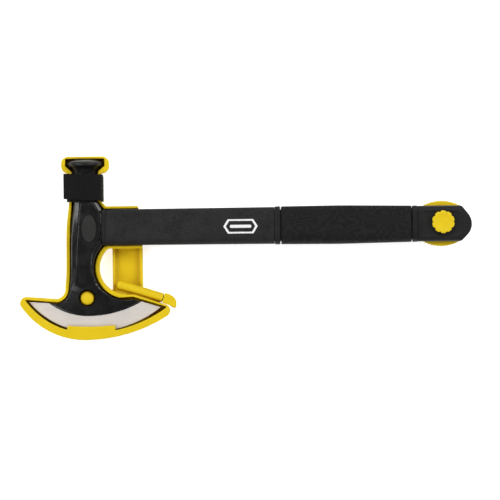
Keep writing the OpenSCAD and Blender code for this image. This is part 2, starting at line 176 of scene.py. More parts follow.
def brushed(name, steel, rough, along, metallic=1.0):
    """Ground metal with fine scratches, which run the way where along is smallest."""
    material, tree, shader, at = surface(name, metallic)
    lines = noise(tree, at, 260.0, 4.0, 0.7, stretch=along)
    broad = noise(tree, at, 60.0, 2.0)
    dark = tuple(c * 0.9 for c in steel)
    colour = between(tree, spread(tree, lines, 0.3, 0.7), dark, steel)
    tree.links.new(colour, shader.inputs["Base Color"])
    roughened(tree, shader, broad, rough - 0.04, rough + 0.06)
    bumped(tree, shader, lines, 0.1, 0.05)
    return material


def contour_rubber():
    """Grip rubber with a raised relief of contour lines."""
    material, tree, shader, at = surface("grip_rubber", gloss=0.12)
    field = noise(tree, at, 55.0, 1.5, 0.45, stretch=(0.75, 1.25, 1.0))
    ripple = maths(tree, "SINE", maths(tree, "MULTIPLY", field, 95.0))
    crest = spread(tree, ripple, -0.6, 0.9)
    fine = noise(tree, at, 2200.0, 2.0)
    colour = between(tree, crest, (0.0085, 0.0085, 0.0087), (0.0135, 0.0135, 0.0138))
    tree.links.new(colour, shader.inputs["Base Color"])
    tree.links.new(spread(tree, crest, 0.0, 1.0, 0.62, 0.52), shader.inputs["Roughness"])
    grain = bumped(tree, shader, fine, 0.15, 0.08)
    bumped(tree, shader, crest, 0.5, 0.22, grain)
    return material


def woven_tape():
    """Black hook-and-loop tape: a diagonal weave under a short fuzz."""
    material, tree, shader, at = surface("hook_and_loop", sheen=0.03)
    slant = wire(tree, "Mapping", {"Vector": at, "Rotation": (0, 0, math.radians(38))})
    slanted = slant.outputs["Vector"]
    warp = {"Vector": slanted, "Scale": 210.0, "Distortion": 1.2, "Detail": 2.0}
    one = wire(tree, "TexWave", warp)
    weft = {"Vector": slanted, "Scale": 330.0, "Distortion": 1.5, "Detail": 2.0}
    other = wire(tree, "TexWave", weft, bands_direction="Y")
    fuzz = noise(tree, at, 1500.0, 3.0, 0.7)
    weave = maths(tree, "MULTIPLY", one.outputs["Fac"], other.outputs["Fac"])
    mixed = maths(tree, "ADD", weave, maths(tree, "MULTIPLY", fuzz, 0.5))
    contrast = spread(tree, mixed, 0.25, 1.0)
    colour = between(tree, contrast, (0.0015, 0.0015, 0.0017), (0.02, 0.02, 0.0205))
    tree.links.new(colour, shader.inputs["Base Color"])
    shader.inputs["Roughness"].default_value = 0.92
    shader.inputs["Specular IOR Level"].default_value = 0.15
    bumped(tree, shader, mixed, 0.7, 0.3)
    return material


def grey(level, blue):
    """A neutral dark, made a little colder by blue, or warmer where blue is negative."""
    return (level, level, level + blue)


COAT_DARK = grey(0.003, 0.0003)
COAT_LIGHT = grey(0.0055, 0.0005)

YELLOW = worn_plastic(
    "yellow_plastic",
    # The first colour is painted shade, the brown-orange that pockets and gaps darken to
    painted_shade=(0.40, 0.2, 0.002),
    main=(0.77, 0.55, 0.006),
    pale=(0.82, 0.62, 0.015),
    rough=0.45,
)
COATING = grained(
    "black_coating", COAT_DARK, COAT_LIGHT, rough=0.26, grain=2600.0, strength=0.08, depth=0.08
)
POLL = grained(
    "poll_coating", COAT_DARK, COAT_LIGHT, rough=0.42, grain=2600.0, strength=0.12, gloss=0.35
)
BARE = brushed("bare_steel", (0.72, 0.67, 0.63), 0.5, along=(0.25, 1.0, 1.0), metallic=0.2)
SAW_STEEL = brushed("saw_steel", (0.66, 0.66, 0.67), 0.32, along=(0.08, 1.0, 1.0))
SMALL_STEEL = brushed("small_steel", (0.55, 0.55, 0.56), 0.3, along=(1.0, 1.0, 0.2))
BRASS = brushed("turned_brass", (0.72, 0.5, 0.2), 0.3, along=(1.0, 1.0, 0.1))
PLUG = grained(
    "plug_plastic",
    grey(0.022, -0.001),
    grey(0.032, -0.001),
    rough=0.7,
    grain=1500.0,
    strength=0.25,
    gloss=0.15,
)
NYLON = grained(
    "shaft_nylon",
    grey(0.009, 0.0003),
    grey(0.0275, 0.0005),
    rough=0.6,
    grain=1100.0,
    strength=0.45,
    depth=0.2,
    gloss=0.15,
)
SATIN = grained(
    "satin_plastic",
    grey(0.008, 0.0002),
    grey(0.0145, 0.0003),
    rough=0.5,
    grain=1600.0,
    strength=0.2,
    gloss=0.2,
)
RUBBER = contour_rubber()
TAPE = woven_tape()
FLINT = grained(
    "fire_steel",
    (0.05, 0.048, 0.046),
    (0.1, 0.097, 0.093),
    rough=0.5,
    grain=900.0,
    strength=0.3,
    metallic=0.8,
)
PRINT = grained(
    "white_print", (0.78, 0.78, 0.77), (0.9, 0.9, 0.89), rough=0.5, grain=1500.0, strength=0.1
)


# ---------------------------------------------------------------- mesh making


def piece(name, points, faces, materials, body, nodes=(), sharp=35, face_slots=None):
    """A mesh from drawing millimetres that rides on a body and stands for CAD nodes."""
    mesh = bpy.data.meshes.new(name)
    placed = ORIGIN + np.asarray(points, float) * MM
    mesh.from_pydata(placed.tolist(), [], [tuple(f) for f in faces])
    for material in materials:
        mesh.materials.append(material)
    if face_slots is not None:
        mesh.polygons.foreach_set("material_index", np.asarray(face_slots, np.int32))
    bm = bmesh.new()
    bm.from_mesh(mesh)
    bmesh.ops.recalc_face_normals(bm, faces=bm.faces)
    bm.to_mesh(mesh)
    bm.free()
    mesh.shade_smooth()
    mesh.set_sharp_from_angle(angle=math.radians(sharp))
    obj = bpy.data.objects.new(name, mesh)
    bpy.context.scene.collection.objects.link(obj)
    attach(obj, body)
    if nodes:
        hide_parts(*nodes)
    return obj


def smooth(path, n=6):
    """Catmull-Rom curve through the points, n steps to a span."""
    p = np.array([path[0], *path, path[-1]], float)
    out = []
    for a, b, c, d in zip(p, p[1:], p[2:], p[3:]):
        for t in np.arange(n) / n:
            at = 2 * b + (c - a) * t
            at = at + (2 * a - 5 * b + 4 * c - d) * t**2
            at = at + (3 * b - a - 3 * c + d) * t**3
            out.append(0.5 * at)
    return np.array([*out, p[-1]])


def arc(centre, radius, start, end, step=0.7):
    """Points of an arc between two angles in degrees, about step mm apart."""
    count = max(2, int(abs(math.radians(end - start)) * radius / step))
    a = np.radians(np.linspace(start, end, count + 1))
    return np.stack([centre[0] + radius * np.cos(a), centre[1] + radius * np.sin(a)], 1)


def angle_to(centre, point):
    """Direction from centre to point, in degrees."""
    return math.degrees(math.atan2(point[1] - centre[1], point[0] - centre[0]))


def spaced(path, step):
    """The same path with points about step mm apart, corners kept."""
    out = []
    for a, b in zip(path, path[1:]):
        count = max(1, round(np.hypot(*(np.subtract(b, a))) / step))
        out += [np.add(a, np.subtract(b, a) * i / count) for i in range(count)]
    return np.array([*out, path[-1]])


def distance(points, path):
    """Distance from each point to a polyline."""
    best = np.full(len(points), 1e9)
    for a, b in zip(path, path[1:]):
        along = np.subtract(b, a)
        length = max(along @ along, 1e-12)
        t = np.clip(((points - a) @ along) / length, 0, 1)
        best = np.minimum(best, np.hypot(*(points - a - t[:, None] * along).T))
    return best


def inside(points, polygon):
    """Which of the points lie inside the polygon."""
    x, y = points.T
    odd = np.zeros(len(points), bool)
    for (ax, ay), (bx, by) in zip(polygon, np.roll(polygon, -1, axis=0)):
        if ay != by:
            odd ^= ((ay > y) != (by > y)) & (x < (bx - ax) * (y - ay) / (by - ay) + ax)
    return odd


def closed(path):
    """The path with its first point again at its end."""
    return np.vstack([path, path[:1]])


def inner_loop(polygon, depth):
    """The polygon's points moved inwards by depth; those that end too near an edge are dropped."""
    ahead, behind = np.roll(polygon, -1, axis=0), np.roll(polygon, 1, axis=0)
    way = ahead - behind
    normal = np.stack([-way[:, 1], way[:, 0]], 1) / np.linalg.norm(way, axis=1)[:, None]
    area = np.sum(polygon[:, 0] * ahead[:, 1] - ahead[:, 0] * polygon[:, 1])
    moved = polygon + normal * depth * np.sign(area)
    return moved[distance(moved, closed(polygon)) > depth * 0.93]


def triangulated(outline, holes=(), lines=(), rings=(), grid=1.0):
    """Triangles over an outline.

    lines become edges, and rings are the depths of extra points along the outline and holes.
    """
    loops = [outline, *holes]
    points, edges = [], []
    for path, shut in [(p, True) for p in loops] + [(p, False) for p in lines]:
        base, count = len(points), len(path)
        points += list(path)
        edges += [(base + i, base + (i + 1) % count) for i in range(count if shut else count - 1)]
    fixed = np.array(points)
    extra = [inner_loop(outline, depth) for depth in rings]
    extra += [inner_loop(hole, -depth) for hole in holes for depth in rings]
    low, high = outline.min(0), outline.max(0)
    xs = np.arange(low[0], high[0], grid)
    ys = np.arange(low[1], high[1], grid * 0.87)
    cells = np.array([(x + grid / 2 * (j % 2), y) for j, y in enumerate(ys) for x in xs])
    keep = inside(cells, outline)
    for path in [closed(p) for p in loops] + list(lines):
        keep &= distance(cells, path) > max([grid * 0.45, *[r + grid * 0.35 for r in rings]])
    loose = np.vstack([*extra, cells[keep]]) if extra else cells[keep]
    everything = np.vstack([fixed, loose])
    found, _, faces, _, _, _ = delaunay_2d_cdt(
        [tuple(p) for p in everything], edges, [list(range(len(outline)))], 1, 1e-4, False
    )
    flat = np.array([tuple(p) for p in found])
    faces = np.array([f for f in faces if len(f) == 3])
    faces = faces[inside(flat[faces].mean(1), outline)]
    middle = flat[faces].mean(1)
    for hole in holes:
        faces = faces[~inside(middle, hole)]
        middle = flat[faces].mean(1)
    used, faces = np.unique(faces, return_inverse=True)
    return flat[used], faces.reshape(-1, 3)


def rims(faces):
    """The directed edges round the border of a sheet of triangles."""
    seen = {}
    for f in faces:
        for a, b in ((f[0], f[1]), (f[1], f[2]), (f[2], f[0])):
            seen[(a, b)] = True
    return [(a, b) for a, b in seen if (b, a) not in seen]


def plate(flat, faces, front, back, back_flat=None):
    """A closed solid between two sheets of heights over the same triangles."""
    n = len(flat)
    below = flat if back_flat is None else back_flat
    points = np.vstack([np.column_stack([flat, front]), np.column_stack([below, back])])
    walls = [(b, a, a + n, b + n) for a, b in rims(faces)]
    return points, [tuple(f) for f in faces] + [tuple(f[::-1] + n) for f in faces] + walls


def rounding(depth, radius):
    """How far an edge of that radius falls below the face, depth mm in from the edge."""
    d = np.clip(depth, 0, radius)
    return radius - np.sqrt(np.maximum(radius**2 - (radius - d) ** 2, 0))


def skin(rings):
    """The closed skin over rings of equally many points."""
    count = len(rings[0])
    faces = []
    for first in range(0, (len(rings) - 1) * count, count):
        for a, b in zip(range(count), [*range(1, count), 0]):
            faces.append((first + a, first + b, first + count + b, first + count + a))
    last = (len(rings) - 1) * count
    faces += [tuple(range(count))[::-1], tuple(range(last, last + count))]
    return np.vstack(rings), faces


def lofted(name, rings, materials, body, nodes=(), sharp=35):
    """A piece with a skin over rings of points."""
    points, faces = skin(rings)
    return piece(name, points, faces, materials, body, nodes, sharp)


def turned(profile, count, axis, centre=(0, 0, 0)):
    """Rings of a lathe shape from (radius, level) pairs, about a y or z axis through centre."""
    a = np.linspace(0, 2 * math.pi, count, endpoint=False)
    rings = []
    for radius, level in profile:
        c, s, lift = radius * np.cos(a), radius * np.sin(a), np.full(count, level)
        ring = np.stack([c, lift, s] if axis == "y" else [c, s, lift], 1)
        rings.append(ring + np.array(centre))
    return rings


def box_ring(x, half_y, half_z, upper, lower):
    """A rounded rectangle across the handle at x. upper and lower are its corners' radii."""
    steps, flats = 7, 8
    corners = []
    for turn, (sy, sz) in enumerate(((1, 1), (-1, 1), (-1, -1), (1, -1))):
        radius = upper if sy > 0 else lower
        a = np.radians(np.linspace(turn * 90, turn * 90 + 90, steps + 1))
        y = sy * (half_y - radius) + radius * np.cos(a)
        z = sz * (half_z - radius) + radius * np.sin(a)
        corners.append(np.stack([y, z], 1))
    ring = []
    for corner, after in zip(corners, corners[1:] + corners[:1]):
        side = after[0] - corner[-1]
        ring += [corner] + [[corner[-1] + side * i / flats] for i in range(1, flats)]
    ring = np.vstack(ring)
    return np.column_stack([np.full(len(ring), x), ring])


def softened(name, node, body, material, voxel, rounds, keep, extra=()):
    """A CAD node's shape with its edges rounded as a mould leaves them.

    It is remeshed with voxels of that size in millimetres, smoothed in that many rounds and
    thinned to the share keep of its faces. extra are closed shells, (points, faces) in drawing
    millimetres, that join it.
    """
    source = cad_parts[node].data
    count = len(source.vertices)
    points = np.zeros(count * 3)
    source.vertices.foreach_get("co", points)
    points = list(points.reshape(-1, 3))
    faces = [tuple(p.vertices) for p in source.polygons]
    for more, more_faces in extra:
        base = len(points)
        points += list(ORIGIN + np.asarray(more, float) * MM)
        faces += [tuple(base + i for i in f) for f in more_faces]
    mesh = bpy.data.meshes.new(name)
    mesh.from_pydata([tuple(p) for p in points], [], faces)
    mesh.materials.append(material)
    obj = bpy.data.objects.new(name, mesh)
    bpy.context.scene.collection.objects.link(obj)
    remesh = obj.modifiers.new("remesh", "REMESH")
    remesh.mode = "VOXEL"
    remesh.voxel_size = voxel * MM
    relax = obj.modifiers.new("relax", "SMOOTH")
    relax.factor = 0.5
    relax.iterations = rounds
    thin = obj.modifiers.new("thin", "DECIMATE")
    thin.ratio = keep
    view = bpy.context.evaluated_depsgraph_get()
    result = bpy.data.meshes.new_from_object(obj.evaluated_get(view))
    obj.modifiers.clear()
    obj.data = result
    result.shade_smooth()
    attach(obj, body)
    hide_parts(node)
    return obj


# ---------------------------------------------------------------- axe head

# The cutting edge and the end of the coating are two arcs each, (centre, radius), that meet
# at their lowest points
EDGE = {"toe": ((4.6, -18.2), 63.5), "heel": ((4.6, 5.4), 87.1)}
COAT_END = {"toe": ((1.8, -17.9), 51.6), "heel": ((1.8, 15.6), 85.1)}
# The large hollow under the handle and the small one over the toe
BAY, BAY_R = (31.3, -32.0), 25.3
HOLLOW, HOLLOW_R = (-24.3, -47.9), 11.7
# The blade's two tips, and where its upper edges run into the hollows
TOE, HEEL = (-44.9, -57.9), (58.4, -63.1)
TOE_ROOT, HEEL_ROOT = (-23.0, -59.55), (37.0, -56.65)
BAY_TOP = (13.2, -14.3)
NECK_LEFT, NECK_RIGHT = (-8.4, 21), (9, 21)
# The sheath's post, which stands through the head
POST_AT = (0.8, -55.2)
POST_HOLE_R = 6.6

toe_side = smooth(
    [NECK_LEFT, (-9.6, 10), (-10.5, 0), (-11.1, -10), (-11.3, -25), (-11.6, -38), (-12.6, -47.9)]
)
head_outline = np.vstack(
    [
        spaced(toe_side, 0.8)[:-1],
        arc(HOLLOW, HOLLOW_R, 0, angle_to(HOLLOW, TOE_ROOT))[:-1],
        spaced([TOE_ROOT, TOE], 0.8)[:-1],
        arc(*EDGE["toe"], angle_to(EDGE["toe"][0], TOE), -90)[:-1],
        arc(*EDGE["heel"], -90, angle_to(EDGE["heel"][0], HEEL))[:-1],
        spaced([HEEL, HEEL_ROOT], 0.8)[:-1],
        arc(BAY, BAY_R, angle_to(BAY, HEEL_ROOT), -(360 - angle_to(BAY, BAY_TOP)))[:-1],
        spaced([BAY_TOP, (12.65, -13.6), (12.65, 14.6), NECK_RIGHT], 0.8)[:-1],
        spaced([NECK_RIGHT, NECK_LEFT], 0.8)[:-1],
    ]
)


def from_arcs(points, arcs):
    """Distance inwards from a line made of a toe arc and a heel arc."""
    toe = arcs["toe"][1] - np.hypot(*(points - arcs["toe"][0]).T)
    heel = arcs["heel"][1] - np.hypot(*(points - arcs["heel"][0]).T)
    return np.where(points[:, 0] < arcs["toe"][0][0], toe, heel)


# End of the coating, from the toe's side to the heel's
coat_line = np.vstack(
    [
        arc(*COAT_END["toe"], angle_to(COAT_END["toe"][0], (-30.2, -58.5)), -90)[:-1],
        arc(*COAT_END["heel"], -90, angle_to(COAT_END["heel"][0], (46, -57.6))),
    ]
)
coat_line = coat_line[inside(coat_line, head_outline)]
# Grooves that bound the raised middle panel, from the hammer down to the blade
left_groove = smooth(
    [(-2.9, 22), (-3.2, 20), (-4.2, 12), (-5, 4), (-5.6, -4), (-6.4, -14), (-6.9, -25), (-7.6, -33)]
    + [(-8.8, -40), (-11, -46.5), (-14, -52), (-18, -56.8), (-21, -58.9)],
    5,
)
right_groove = smooth(
    [(4.2, 22), (5.4, 19.6), (8.6, 15), (10.9, 11.4), (11.2, 8), (11.2, 0), (11, -8), (8.4, -12.4)]
    + [(5.4, -17.5), (3.7, -23), (3.2, -29), (3.8, -36), (6.5, -43), (11, -48.7), (17, -52.8)]
    + [(24, -55.6), (30, -57)],
    5,
)
# The raised panel lies between the grooves and takes in the whole blade, with room to spare
around_blade = [(-24, -58), (-60, -50), (-60, -99), (75, -99), (75, -50), (34, -55)]
panel = np.vstack([left_groove, around_blade, right_groove[::-1]])


def ellipse(centre, half_x, half_y):
    """Points of an ellipse, about 0.7 mm apart."""
    count = int(math.pi * (half_x + half_y) / 0.7)
    a = np.linspace(0, 2 * math.pi, count, endpoint=False)
    return np.stack([centre[0] + half_x * np.cos(a), centre[1] + half_y * np.sin(a)], 1)


PLUG_HALF = (5.95, 10.95)
PLUG_HOLE_HALF = (6.15, 11.15)
plug_hole = ellipse(PLUG_AT, *PLUG_HOLE_HALF)
post_hole = ellipse(POST_AT, POST_HOLE_R, POST_HOLE_R)


def beside(path, offset):
    """A line that runs beside the path, offset mm to its left."""
    way = np.gradient(path, axis=0)
    way /= np.linalg.norm(way, axis=1)[:, None]
    return path + np.stack([-way[:, 1], way[:, 0]], 1) * offset


# Width of the small step between bare steel and coating
COAT_STEP = 0.35
# Profile of a groove, outwards from the panel: distances, and heights against the panel
GROOVE_OUT = [0, 0.3, 0.7, 1.1]
GROOVE_RISE = [0, -0.12, -0.85, -0.42]
THINNEST = 0.22


def head_height(p):
    """Half thickness of the visible head over the points p."""
    y = p[:, 1]
    edge, coat = from_arcs(p, EDGE), from_arcs(p, COAT_END)
    # Shank, bare bevel and coated blade, each thinner towards the edge
    cheek = np.interp(y, [-90, -66, -30, 21], [1.5, 4.2, 11, 9.5])
    bevel = 0.3 + 2.2 * edge / np.maximum(edge - coat, 0.1)
    swell = np.interp(coat, [0, COAT_STEP, 18, 34], [2.5, 2.85, 6.5, 12])
    h = np.where(y > -25, cheek, np.minimum(cheek, np.where(coat < 0, bevel, swell)))
    # Outside the panel the surface dips into the groove, then slopes away to the side
    to_groove = np.minimum(distance(p, left_groove), distance(p, right_groove))
    out = np.where(inside(p, panel), 0, to_groove)
    fall = np.interp(y, [-20, -8, 2, 14], [0.3, 0.3, 0.55, 1.2])
    groove = np.interp(out, GROOVE_OUT, GROOVE_RISE)
    groove = groove - fall * np.clip(out - GROOVE_OUT[-1], 0, 6) / 3
    h = h + groove * np.interp(y, [-57, -44], [0.1, 1])
    # The shank is slightly crowned, and the coated border is rounded
    crown = 0.0025 * np.clip(p[:, 0] - PLUG_AT[0], -9, 9) ** 2
    border = distance(p, closed(head_outline))
    round_edge = np.where(coat > 0.5, rounding(border, 0.6), 0)
    return np.maximum(h - np.where(y > -45, crown, 0) - round_edge, THINNEST)


# Where the height bends, so that the mesh has edges along it
bends = [beside(coat_line, COAT_STEP)]
for path, outward in ((left_groove, -1), (right_groove, 1)):
    bends += [beside(path, outward * offset) for offset in (*GROOVE_OUT, 1.8, 2.6, 3.4)]
bends = [p[inside(p, head_outline) & (distance(p, closed(head_outline)) > 0.9)] for p in bends]

flat, tris = triangulated(
    head_outline,
    [plug_hole, post_hole],
    [coat_line] + [line for line in bends if len(line)],
    rings=(0.12, 0.3, 0.6),
    grid=0.8,
)
height = head_height(flat)
# The post's hole is wider at the back, so the points within MOVED_R of it move outwards there
BACK_HOLE_R = 9.6
MOVED_R = 14
away = flat - POST_AT
reach = np.hypot(*away.T)
opened = np.interp(reach, [POST_HOLE_R, MOVED_R], [BACK_HOLE_R, MOVED_R])
widened = POST_AT + away / reach[:, None] * opened[:, None]
back_flat = np.where((reach < MOVED_R)[:, None], widened, flat)
head_points, head_faces = plate(flat, tris, height, -height, back_flat)
middles = np.array([head_points[list(f)].mean(0)[:2] for f in head_faces])
bare = (from_arcs(middles, COAT_END) < 0).astype(int)
piece(
    "head_plate",
    head_points,
    head_faces,
    [COATING, BARE],
    "axe",
    ["axe_head"],
    sharp=55,
    face_slots=bare,
)


# Radius and height of the hammer, from inside the neck up to the middle of its face
poll_profile = (
    [(8.6, 17), (9, 17.4), (9, 41), (9.15, 43), (9.7, 45), (10.8, 46.7), (12.3, 47.9), (13.6, 48.6)]
    + [(14.05, 49), (14.2, 49.5), (14.2, 51), (14.05, 51.4), (13.5, 51.9), (12.2, 52.4), (9, 53.1)]
    + [(4, 53.6), (0.05, 53.75)]
)
lofted(
    "hammer_poll",
    turned(poll_profile, count=72, axis="y"),
    [POLL],
    "axe",
    sharp=30,
)

# Oval plug: two low domes with a soft border
PLUG_TOP = 10.95
plug_outline = ellipse(PLUG_AT, *PLUG_HALF)
flat, tris = triangulated(plug_outline, rings=(0.2, 0.5), grid=1.2)
dome = PLUG_TOP - rounding(distance(flat, closed(plug_outline)), 0.5)
dome -= 0.25 * np.clip(np.hypot(*((flat - PLUG_AT) / PLUG_HALF).T), 0, 1) ** 2
plug_points, plug_faces = plate(flat, tris, dome, -dome)
piece("eye_oval", plug_points, plug_faces, [PLUG], "axe", ["eye_plug"], sharp=50)


# ---------------------------------------------------------------- handle


def span(node):
    """Where a node starts and ends along the handle, in the drawing's millimetres."""
    low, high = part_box(node)
    return (low.x - ORIGIN[0]) / MM, (high.x - ORIGIN[0]) / MM


def ease(x_start, x_end, round_start, round_end, size):
    """Rings along a stretch of handle whose ends are rounded.

    size(x) gives half height, half thickness, and the upper and lower corners' radii.
    """
    places = [(x_start, round_start)]
    for a in (0.5, 1.0):
        places.append((x_start + round_start * (1 - math.cos(a)), round_start * (1 - math.sin(a))))
    places += [(x, 0.0) for x in np.linspace(x_start + round_start, x_end - round_end, 12)]
    for a in (1.0, 0.5):
        places.append((x_end - round_end * (1 - math.cos(a)), round_end * (1 - math.sin(a))))
    places.append((x_end, round_end))
    rings = []
    for x, inset in places:
        half_y, half_z, upper, lower = size(x)
        radii = max(upper - inset, 0.5), max(lower - inset, 0.5)
        rings.append(box_ring(x, half_y - inset, half_z - inset, *radii))
    return rings


def tapered(stations, *values):
    """Sizes that run straight between the stations along x."""
    return lambda x: [np.interp(x, stations, v) for v in values]


def steady(*values):
    """Sizes that are the same all along."""
    return lambda x: values


COLLAR = span("head_collar")
SHAFT_X = span("handle_shaft")[0]
RING = span("front_ring")
GRIP = span("rubber_grip")
REAR = span("rear_ring")
# Half height and half thickness of the shaft, at the head and at the front ring
SHAFT_Y = (14.1, 14.5)
SHAFT_Z = (11.6, 13.4)

lofted(
    "collar",
    ease(*COLLAR, 0.6, 0.3, steady(SHAFT_Y[0], SHAFT_Z[0], 3, 5.5)),
    [SATIN],
    "axe",
    ["head_collar"],
)
shaft_size = tapered([SHAFT_X, RING[0]], SHAFT_Y, SHAFT_Z, [3, 3.2], [5.5, 6.5])
lofted(
    "shaft",
    ease(SHAFT_X, RING[0] - 0.15, 0.45, 0.5, shaft_size),
    [NYLON],
    "axe",
    ["handle_shaft"],
)
ring_size = tapered([RING[0], RING[0] + 1.6], [14.8, 15], [13.6, 13.9], [3.2, 3.4], [6.5, 7])
lofted(
    "grip_front_ring",
    ease(RING[0], RING[1] - 0.35, 0.5, 0.5, ring_size),
    [SATIN],
    "axe",
    ["front_ring"],
)
GRIP_FULLEST_X = 200
grip_size = tapered(
    [GRIP[0], GRIP_FULLEST_X, GRIP[1]], [14.9, 15.2, 14.3], [14.5] * 3, [3.6] * 3, [8] * 3
)
lofted(
    "grip_sleeve",
    ease(GRIP[0] + 0.35, GRIP[1] - 0.4, 0.8, 0.9, grip_size),
    [RUBBER],
    "axe",
    ["rubber_grip"],
)
lofted(
    "grip_rear_ring",
    ease(REAR[0] + 0.3, REAR[1], 0.5, 0.5, steady(14.3, 13.6, 3.4, 7)),
    [SATIN],
    "axe",
    ["rear_ring"],
)
# Seen only in the narrow gaps between the rings and the grip
lofted(
    "handle_core",
    ease(RING[0] - 1, REAR[1] + 0.1, 0.2, 0.2, steady(12.5, 11.8, 3, 3)),
    [SATIN],
    "axe",
)

softened(
    "butt_cap", "end_cap", "axe", SATIN, voxel=0.35, rounds=4, keep=0.3
)

# A plain elongated hexagon printed on the shaft, about this centre
MARK_AT = (122.0, -0.4)


def hexagon(half_x, half_y):
    """Corners of a hexagon with points to the left and right, about the mark's centre."""
    point = half_y * 0.62
    corners = [(half_x, 0), (half_x - point, half_y), (point - half_x, half_y)]
    return np.array(corners + [(-x, -y) for x, y in corners]) + MARK_AT


mark_shapes = (
    ("mark_border", hexagon(13.5, 5.6), [hexagon(11.6, 4.3)]),
    ("mark_bar", hexagon(8.6, 1.2), []),
)
for name, outer, holes in mark_shapes:
    outline = spaced(closed(outer), 1.0)[:-1]
    flat, tris = triangulated(outline, holes, grid=1.6)
    base = np.interp(flat[:, 0], [SHAFT_X, RING[0]], SHAFT_Z)
    mark_points, mark_faces = plate(flat, tris, base + 0.05, base - 0.1)
    piece(name, mark_points, mark_faces, [PRINT], "axe")


# ---------------------------------------------------------------- knob and saw

knob_low, knob_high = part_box("thumb_knob")
KNOB_AT = [(low + high) / 2 / MM for low, high in zip(knob_low, knob_high)][:2] - ORIGIN[:2] / MM
KNOB_Z = (knob_low.z - ORIGIN[2]) / MM, (knob_high.z - ORIGIN[2]) / MM
LOBES = 10
KNOB_POINTS = 240
turns = np.linspace(0, 2 * math.pi, KNOB_POINTS, endpoint=False)


def lobed(radius, depth):
    """Radii of a round with full lobes and narrow valleys between them."""
    wave = np.abs(np.cos((turns - math.pi / 2) * LOBES / 2))
    return radius - depth * (1 - wave) ** 2.2


# Radius, depth of the valleys and height, from the knob's foot to the middle of its top
knob_rings = []
for radius, depth, z in (
    (8.0, 0.8, KNOB_Z[0]),
    (8.45, 0.9, KNOB_Z[0] + 0.15),
    (8.8, 1.0, KNOB_Z[0] + 0.5),
    (8.9, 1.05, KNOB_Z[0] + 1.2),
    (8.9, 1.05, KNOB_Z[1] - 0.9),
    (8.8, 1.0, KNOB_Z[1] - 0.45),
    (8.5, 0.9, KNOB_Z[1] - 0.15),
    (8.0, 0.75, KNOB_Z[1] - 0.02),
    (7.4, 0.4, KNOB_Z[1]),
    (6.6, 0.05, KNOB_Z[1] - 0.03),
    (6.4, 0.0, KNOB_Z[1] - 0.12),
    (3.0, 0.0, KNOB_Z[1] - 0.14),
    (0.05, 0.0, KNOB_Z[1] - 0.14),
):
    r = lobed(radius, depth)
    x, y = KNOB_AT[0] + r * np.cos(turns), KNOB_AT[1] + r * np.sin(turns)
    knob_rings.append(np.stack([x, y, np.full(KNOB_POINTS, z)], 1))
lofted("knob", knob_rings, [YELLOW], "knob", ["thumb_knob"], sharp=50)

# The saw's handle: a lens with fine serrations on both arcs, cut square at both ends. Its
# middle's x, the arcs' radius, and how far they stand out of the handle's axis
LENS_AT, LENS_R, LENS_OUT = 279.8, 30.0, 18.0
LENS_HALF_THICK = 3
TAIL_X = span("saw_tail")
TOOTH_PITCH, TOOTH_DEPTH = 2.5, 0.4


def lens_arc(sign):
    """The upper or lower serrated arc, from the butt's side to the blade's."""
    centre = (LENS_AT, -sign * (LENS_R - LENS_OUT))
    start = math.degrees(math.acos((TAIL_X[1] - LENS_AT) / LENS_R))
    end = 180 - math.degrees(math.acos((LENS_AT - TAIL_X[0]) / LENS_R))
    a = np.radians(np.linspace(start, end, 140))
    valley = 0.5 - 0.5 * np.cos(2 * math.pi * a * LENS_R / TOOTH_PITCH)
    r = LENS_R - TOOTH_DEPTH * valley**1.5
    return np.stack([centre[0] + r * np.cos(a), centre[1] + sign * r * np.sin(a)], 1)


upper, lower = lens_arc(1), lens_arc(-1)
blade_end = spaced([upper[-1], lower[-1]], 1.0)[1:-1]
butt_end = spaced([lower[0], upper[0]], 1.0)[1:-1]
lens = np.vstack([upper, blade_end, lower[::-1], butt_end])
flat, tris = triangulated(lens, rings=(0.15, 0.4, 0.8), grid=1.4)
thick = LENS_HALF_THICK - rounding(distance(flat, closed(lens)), 0.8)
lens_points, lens_faces = plate(flat, tris, thick, -thick)
piece("saw_grip", lens_points, lens_faces, [YELLOW], "saw", ["saw_tail"], sharp=45)


# ---------------------------------------------------------------- sheath

# The post through the head, with a domed top
post_profile = [(5.7, -13), (5.7, 2.2), (5.55, 3), (5.1, 3.8), (4.3, 4.4), (3, 4.85)]
post_profile += [(1.5, 5.1), (0.1, 5.2)]
post = skin(turned(post_profile, count=48, axis="z", centre=(*POST_AT, 0)))
softened(
    "belt_sheath",
    "sheath",
    "sheath_body",
    YELLOW,
    voxel=0.4,
    rounds=4,
    keep=0.35,
    extra=[post],
)
softened(
    "striker_cap",
    "fire_steel_cap",
    "fire_steel",
    YELLOW,
    voxel=0.25,
    rounds=5,
    keep=0.5,
)


# ---------------------------------------------------------------- strap


STRAP_THICK = 1.5


